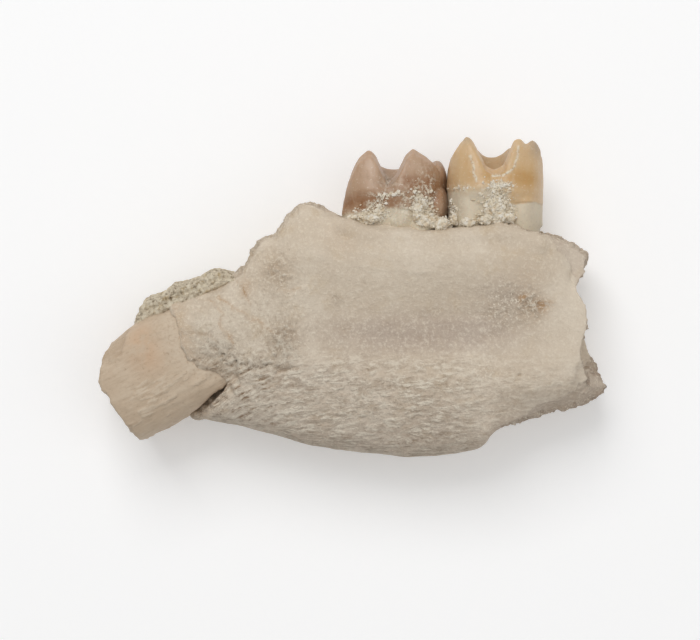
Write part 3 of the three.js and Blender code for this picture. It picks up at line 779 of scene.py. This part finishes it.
ragged_y = y + 0.12 * noise(places * 3, 72)
FRONT_BAND = [
    ((2.4, 4.8), (0.7, 0.32), 1.0),
    ((0.15, 3.95), (0.75, 0.45), 1.0),
    # this spot is painted shade on the rear side of the crown, in the gap behind it
    ((3.4, 4.4), (0.5, 0.8), 1.0),
    ((1.5, 4.1), (0.8, 0.5), 0.7),
]
FRONT_DUST = [
    ((1.5, 4.8), (0.25, 0.35), 0.6),
    ((0.9, 3.9), (0.4, 0.45), 0.9),
    ((2.7, 4.1), (0.7, 0.5), 1.0),
    ((3.2, 4.9), (0.4, 0.5), 0.6),
    ((1.7, 4.33), (0.5, 0.12), 1.0),
]
paint(
    molar_front,
    enamel=ramp(-0.1, 0.1, above),
    band=spots_at(ragged_x, ragged_y, FRONT_BAND),
    dust=spots_at(ragged_x, ragged_y, FRONT_DUST) + ramp(0.3, -0.1, above) * 0.5,
    # painted highlight on the two cusps
    tip=spots_at(x, y, [((0.75, 5.3), (0.5, 0.8), 0.7), ((2.6, 5.6), (0.6, 0.5), 0.6)]),
    # painted shade: darker at the rear edge of the crown low down, and towards the cheek side
    shade=ramp(3.72, 4.0, x) * ramp(5.4, 4.9, y) + ramp(3.3, 2.5, z) * 0.3,
    grey=spots_at(ragged_x, ragged_y, [((1.45, 4.95), (0.3, 0.45), 1.0)]),
    vein=np.zeros(len(x)),
)

REAR_TONGUE_RIM = [
    (4.05, 5.0),
    (4.11, 5.8),
    (4.32, 6.2),
    (4.58, 6.6),
    (4.87, 6.9),
    (5.12, 6.7),
    (5.35, 6.2),
    (5.65, 5.6),
    (6.03, 5.4),
    (6.45, 5.6),
    (6.7, 6.2),
    (6.9, 6.72),
    (7.18, 6.78),
    (7.39, 6.5),
    (7.69, 6.8),
    (7.99, 6.6),
    (8.15, 6.3),
    (8.18, 5.5),
]
REAR_CHEEK_RIM = [
    (4.05, 5.6),
    (4.3, 6.2),
    (4.95, 6.65),
    (5.3, 6.5),
    (5.6, 6.2),
    (5.85, 6.08),
    (6.2, 6.07),
    (6.45, 6.18),
    (6.75, 6.45),
    (7.2, 6.6),
    (8.15, 6.2),
]
REAR_ROOTS = [
    ((5.0, 3.6, 2.95), (0.84, 1.9, 1.62)),
    ((7.24, 3.6, 2.95), (0.84, 1.9, 1.62)),
    ((7.3, 2.6, 2.9), (0.78, 1.2, 1.5)),
    ((6.1, 4.6, 2.95), (0.9, 0.6, 1.6)),
]
REAR_NECK = [(4.0, 4.5), (5.3, 4.55), (5.8, 4.7), (6.2, 4.7), (6.5, 4.3), (6.7, 4.0), (8.3, 3.95)]
REAR_RIMS = (REAR_TONGUE_RIM, REAR_CHEEK_RIM)
REAR_VALLEY = (6.03, 5.4)
molar_rear, places, above = tooth_of(
    "cheek_tooth_rear", (4.06, 8.18), REAR_RIMS, REAR_VALLEY, REAR_ROOTS, REAR_NECK
)
x, y, z = places.T
ragged_x = x + 0.05 * fractal(places * 4, 73)
ragged_y = y + 0.05 * fractal(places * 4, 77)
MINERAL_LINES = [
    [(5.0, 6.0), (5.12, 5.6), (5.15, 5.2), (5.25, 4.9)],
    [(7.05, 6.4), (7.0, 5.85), (6.8, 5.4), (6.4, 5.15), (5.95, 5.12)],
]
veins = sum(np.exp(-((beside(ragged_x, ragged_y, line) / 0.05) ** 2)) for line in MINERAL_LINES)
REAR_BAND = [((6.1, 5.1), (1.0, 0.35), 0.8), ((7.4, 5.0), (0.6, 0.4), 1.0), ((5.0, 5.6), (0.3, 0.5), 0.5)]
REAR_DUST = [((6.15, 4.5), (0.6, 0.4), 1.0), ((4.6, 4.6), (0.5, 0.2), 0.7), ((4.4, 3.7), (0.3, 0.6), 0.5)]
fuzzy = 0.04 + 0.25 * ramp(6.9, 6.2, x)  # half width of the enamel's edge, which is sharp behind
neck_line = np.exp(-((above / 0.035) ** 2)) * ramp(6.8, 7.1, x)
paint(
    molar_rear,
    enamel=ramp(-1, 1, (above + 0.1 * noise(places * 3, 75)) / fuzzy),
    band=spots_at(x, y, REAR_BAND),
    dust=spots_at(ragged_x, ragged_y, REAR_DUST),
    vein=veins * ramp(3.2, 3.6, z),
    # painted highlight, lighter towards the top of the crown
    tip=ramp(6.3, 6.9, y) * 0.5,
    # painted shade towards the cheek side, and a dark line along the enamel's edge behind
    shade=ramp(3.4, 2.6, z) * 0.45 + 0.5 * neck_line,
    grey=spots_at(x, y, [((7.8, 6.5), (0.35, 0.5), 1.0), ((4.9, 6.8), (0.3, 0.3), 0.6)]),
)


def enamel_finish(name, body, band, tip):
    """Enamel with a soft gloss over a pale root, from its body colour, its band colour and a lighter colour
    painted as a highlight.
    """
    finish, shader, spots = new_finish(
        name,
        Specular_IOR_Level=0.5,
        Coat_Roughness=0.25,
        Subsurface_Weight=0.15,
        Subsurface_Radius=(1.0, 0.6, 0.4),
        Subsurface_Scale=0.35 * MM,
    )
    mottle = spots.waves(1.4, 5.0)
    grain = spots.waves(7.0, 5.0, 0.7)
    upright = spots.stretched((0.2, 1.5, 0.2)).waves(1.0, 4.0)
    # painted highlight on the cusps and the top of the crown
    enamel = spots.blend(body, spots.mask("tip") * 0.8, tip)
    enamel = enamel.mixed(spots.mask("band") * mottle.over(0.2, 0.5) * 0.9, band)
    enamel = enamel.mixed(spots.mask("grey") * 0.7, ENAMEL_GREY)
    enamel = enamel.mixed(upright.over(0.5, 0.75) * 0.25, tip)
    enamel = enamel.mixed(upright.over(0.48, 0.3) * 0.2, band)
    # painted shade, darker low down on the crowns and towards the cheek side
    enamel = enamel.mixed(spots.mask("shade") * 0.6, ENAMEL_DARK)
    colour = spots.blend(ROOT_PALE, mottle.over(0.45, 0.7) * 0.4, ROOT_GREY)
    colour = colour.mixed(grain.over(0.46, 0.34) * 0.3, ROOT_GREY)
    colour = colour.mixed(spots.mask("enamel"), enamel)
    patch = spots.waves(3.5, 4.0, 0.6).over(0.44, 0.56)
    fleck = spots.waves(9.0, 4.0, 0.7)
    dust = spots.mask("dust") * patch * fleck.over(0.42, 0.52) + spots.mask("vein") * fleck.over(0.36, 0.5)
    colour = colour.mixed(dust * 0.9, ROOT_DUST)
    colour = colour.mixed(fleck.over(0.6, 0.66) * (0.3 + 0.6 * spots.mask("dust")), ROOT_DUST)
    colour = colour.mixed(grain.over(0.42, 0.32) * 0.12, ENAMEL_DARK)
    roughness = 0.6 - 0.25 * spots.mask("enamel") + 0.3 * dust + 0.1 * grain
    coat = spots.mask("enamel") * 0.15 * (1 - dust)
    coat.tree.links.new(coat.socket, shader.inputs["Coat Weight"])
    feed(shader, colour, roughness, upright * 0.35 + grain * 0.3 + dust * 0.6, ENAMEL_BUMP)
    return finish


ENAMEL_DARK = colour_of(92, 60, 38)
ENAMEL_GREY = colour_of(168, 150, 132)
ROOT_PALE = colour_of(214, 200, 176)
ROOT_GREY = colour_of(196, 182, 160)
ROOT_DUST = colour_of(236, 226, 206)
# The third colour of each enamel is its painted highlight
BROWN_ENAMEL = (colour_of(182, 150, 121), colour_of(142, 96, 58), colour_of(202, 174, 150))
HONEY_ENAMEL = (colour_of(210, 178, 135), colour_of(194, 150, 90), colour_of(210, 185, 148))
rest_on(molar_front, enamel_finish("brown_enamel", *BROWN_ENAMEL), "enamel_brown", "molar_front")
rest_on(molar_rear, enamel_finish("honey_enamel", *HONEY_ENAMEL), "enamel_honey", "molar_rear")


# The sediment between the roots
# Chalky crumbs caught between the roots of the cheek teeth and along the edge of the bone.
# Each plug is a rough lump with many small chips strewn over it, all in one mesh.
CRUMB_VOXEL = 0.042
CRUMB_SMOOTHING = 3
CRUMB_BUMP = 0.05
CHIP_SIZE = 0.027
CHIP_SPREAD = 0.5
CHIP_COUNT = 1600


def crumbs_of(name, lumps, tooth, dusty, seed):
    """A rough lump of sediment, with loose chips on its skin and on the dusty places of a tooth."""
    lump = new_piece(name)
    add_lumps(lump, lumps, 24)
    mesh_evenly(lump, CRUMB_VOXEL, CRUMB_SMOOTHING)
    places, normals = points_of(lump)
    height = 0.12 * fractal(places * 2.6, seed) + 0.07 * web(places * 4.2, seed + 5) - 0.03
    put_points(lump, places + normals * height[:, None])
    draw = np.random.default_rng(seed)
    bpy.ops.mesh.primitive_ico_sphere_add(subdivisions=1, radius=1)
    chip = bpy.context.active_object
    shape = np.array([corner.co for corner in chip.data.vertices])
    faces = np.array([face.vertices for face in chip.data.polygons])
    bpy.data.objects.remove(chip)
    corners = []
    for ground in (lump, tooth):
        places, normals = points_of(ground)
        share = np.ones(len(places))
        if ground is tooth:
            share = np.clip(spots_at(*places.T[:2], dusty), 0, 1) ** 2
        share *= normals[:, 2] > -0.2
        for root in draw.choice(len(places), CHIP_COUNT, p=share / share.sum()):
            size = CHIP_SIZE * draw.lognormal(0, CHIP_SPREAD)
            uneven = shape * draw.uniform(0.55, 1.45, (len(shape), 1)) * draw.uniform(0.5, 1.4, 3)
            corners.append(places[root] + normals[root] * 0.3 * size + uneven * size)
    mesh = bpy.data.meshes.new("chips")
    joined = np.concatenate([faces + i * len(shape) for i in range(len(corners))])
    mesh.from_pydata(np.concatenate(corners) * MM, [], joined)
    chips = new_piece("chips", mesh)
    choose(lump)
    chips.select_set(True)
    bpy.ops.object.join()
    return lump


PLUG_FRONT = [
    ((1.7, 3.4, 2.6), (0.9, 0.45, 1.4)),
    ((0.2, 3.35, 4.3), (0.45, 0.12, 0.3)),
    ((0.8, 3.3, 4.4), (0.5, 0.22, 0.36)),
    ((1.1, 3.65, 4.4), (0.16, 0.3, 0.24)),
    ((1.65, 4.3, 4.6), (0.3, 0.05, 0.08)),
    ((2.75, 3.6, 4.42), (0.28, 0.45, 0.32)),
    ((3.2, 3.2, 4.35), (0.5, 0.32, 0.4)),
    ((2.95, 3.9, 4.5), (0.12, 0.4, 0.16)),
    ((3.8, 3.05, 3.85), (0.4, 0.3, 0.9)),
]
PLUG_REAR = [
    ((6.1, 3.7, 2.9), (0.7, 0.8, 1.65)),
    ((6.1, 3.75, 4.3), (0.52, 0.8, 0.45)),
    ((6.05, 4.4, 4.45), (0.42, 0.3, 0.32)),
    ((5.65, 3.25, 4.45), (0.4, 0.22, 0.36)),
    ((6.6, 3.35, 4.4), (0.4, 0.24, 0.36)),
    ((4.95, 3.15, 4.4), (0.3, 0.14, 0.26)),
    ((4.3, 3.3, 4.1), (0.2, 0.35, 0.2)),
]
FRONT_CRUMBS = [
    ((0.8, 3.5), (0.7, 0.25), 1.0),
    ((1.2, 3.9), (0.2, 0.4), 0.8),
    ((1.7, 4.33), (0.4, 0.1), 1.0),
    ((2.75, 3.9), (0.35, 0.45), 1.0),
    ((3.2, 3.6), (0.4, 0.4), 0.9),
    ((3.0, 4.6), (0.5, 0.5), 0.2),
]
REAR_CRUMBS = [
    ((6.1, 4.0), (0.55, 0.7), 1.0),
    ((5.35, 3.25), (0.3, 0.15), 0.8),
    ((4.3, 3.6), (0.15, 0.5), 0.5),
    ((6.3, 4.7), (0.5, 0.15), 0.8),
    ((6.7, 3.5), (0.25, 0.3), 0.6),
    ((4.7, 4.6), (0.5, 0.12), 0.4),
]
plug_front = crumbs_of("crumbs_front", PLUG_FRONT, molar_front, FRONT_CRUMBS, 81)
plug_rear = crumbs_of("crumbs_rear", PLUG_REAR, molar_rear, REAR_CRUMBS, 91)
CHALK = colour_of(240, 229, 208)
CHALK_PALE = colour_of(250, 244, 232)
CHALK_TAN = colour_of(220, 196, 160)
CHALK_DARK = colour_of(160, 130, 96)
crumb_finish, shader, spots = new_finish("chalky_sediment", Specular_IOR_Level=0.2)
mottle = spots.waves(2.6, 5.0)
grain = spots.waves(7.0, 5.0, 0.7)
colour = spots.blend(CHALK, mottle.over(0.5, 0.64) * 0.6, CHALK_TAN)
colour = colour.mixed(spots.waves(5.0, 3.0).over(0.48, 0.6) * 0.8, CHALK_PALE)
colour = colour.mixed(grain.over(0.45, 0.32) * 0.5, CHALK_DARK)
feed(shader, colour, 0.85 + 0.1 * grain, grain * 1.4 + spots.waves(14.0, 3.0) * 0.4, CRUMB_BUMP)
rest_on(plug_front, crumb_finish, "sediment", "matrix_plug_front")
rest_on(plug_rear, crumb_finish, "sediment", "matrix_plug_rear")


# The floor
# A wide pale board under the jaw, matt, with a faint grain.
# It glows a little, as a lit table does, so that the jaw's shadow stays soft.
FLOOR_WIDTH = 3.0
FLOOR_GLOW = 0.17
FLOOR_WHITE = (0.93, 0.93, 0.93)
FLOOR_GREY = (0.9, 0.9, 0.9)
bpy.ops.object.select_all(action="DESELECT")
bpy.ops.mesh.primitive_plane_add(size=FLOOR_WIDTH, location=(0, 0, 0))
floor = bpy.context.active_object
floor.name = "floor"
floor_finish, shader, spots = new_finish(
    "pale_floor", Specular_IOR_Level=0.1, Emission_Color=(1, 1, 1, 1), Emission_Strength=FLOOR_GLOW
)
paper = spots.waves(0.05, 3.0)
feed(shader, spots.blend(FLOOR_WHITE, paper * 0.2, FLOOR_GREY), 0.85 + 0.1 * paper, paper, 0.01)
floor.data.materials.append(floor_finish)


# Light and camera
# Broad soft lamps stand over the jaw, the strongest on the side of its teeth, as on a copy stand.
# The camera looks straight down on the tongue side with a long lens.
LAMPS = [
    ("key", (-0.06, 0.16, 0.22), 0.16, 0.32),
    ("fill", (0.16, -0.04, 0.2), 0.2, 0.07),
    ("top", (0.0, 0.03, 0.3), 0.25, 0.13),
]
for name, place, width, power in LAMPS:
    bpy.ops.object.light_add(type="AREA", location=place)
    lamp = bpy.context.active_object
    lamp.name = name
    lamp.data.size = width
    lamp.data.energy = power
    lamp.rotation_euler = (-lamp.location).to_track_quat("-Z", "Y").to_euler()
WORLD_LIGHT = 0.35
world = bpy.data.worlds.new("studio")
world.use_nodes = True
world.node_tree.nodes["Background"].inputs["Color"].default_value = (1, 1, 1, 1)
world.node_tree.nodes["Background"].inputs["Strength"].default_value = WORLD_LIGHT
bpy.context.scene.world = world
bpy.context.scene.view_settings.view_transform = "Standard"

LENS = 135.0
SENSOR = 36.0
VIEW_WIDTH = 30.24  # width of the picture at the height of the jaw's outline
VIEW_MIDDLE = (-0.114, -1.0)
distance = VIEW_WIDTH * LENS / SENSOR
camera_place = np.array([*VIEW_MIDDLE, MID_HEIGHT + distance]) * MM
bpy.ops.object.camera_add(location=camera_place, rotation=(0, 0, 0))
camera = bpy.context.active_object
camera.data.lens = LENS
camera.data.sensor_width = SENSOR
camera.data.clip_start = 0.005
bpy.context.scene.camera = camera
